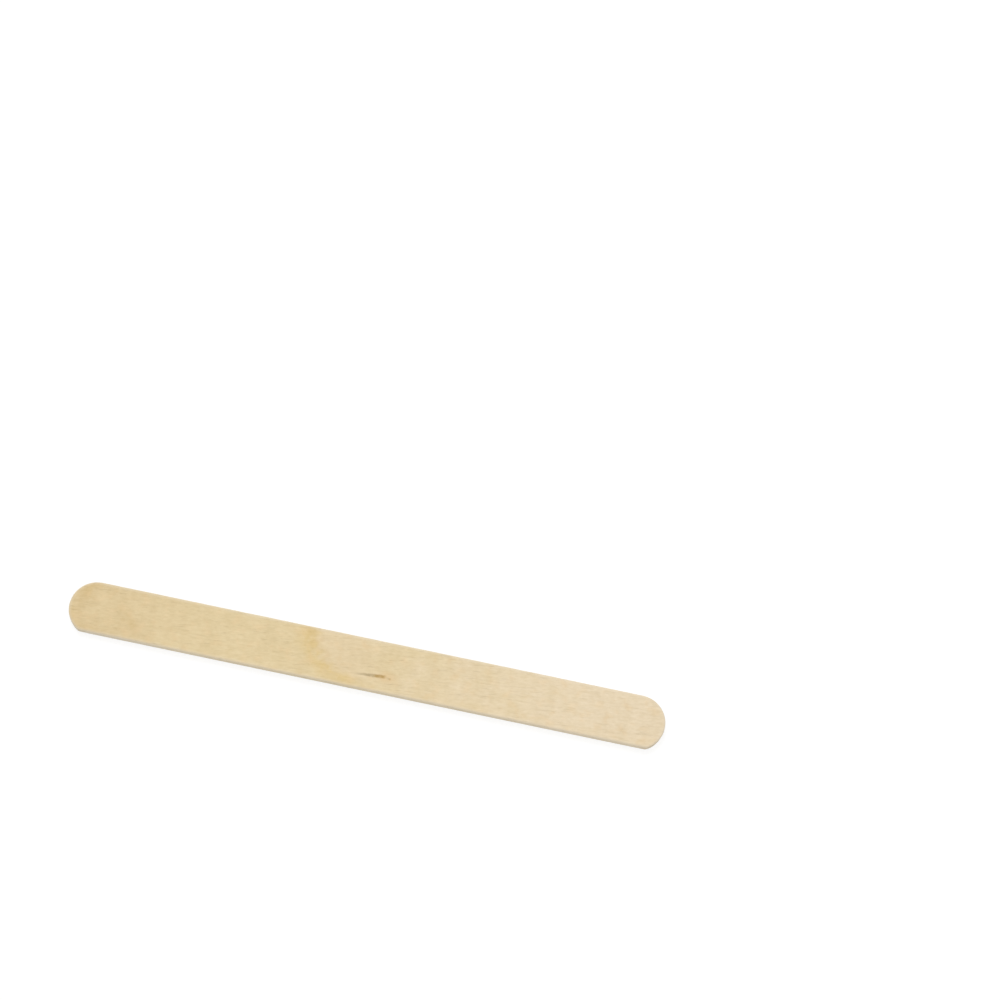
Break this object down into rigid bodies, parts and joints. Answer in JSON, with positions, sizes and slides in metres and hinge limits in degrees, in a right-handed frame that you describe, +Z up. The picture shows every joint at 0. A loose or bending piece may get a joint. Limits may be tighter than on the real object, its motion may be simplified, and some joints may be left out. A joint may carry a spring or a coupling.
{
  "type": "waxing applicator stick",
  "caption": "Slim flat wooden stick with rounded ends and softened edges, for spreading wax, cream or glue.",
  "frame": {"origin": "on the surface the stick lies on, under the middle of its overall box", "axes": "+X along the stick, +Y across it towards the side that both end curves run into smoothly, +Z up through its thickness"},
  "size_m": [0.114, 0.0098, 0.002],
  "materials": {
    "birch": "bare, smooth-cut birch veneer with a dull satin sheen"
  },
  "bodies": {
    "root": {"applicator_stick": "birch"}
  },
  "joints": []
}
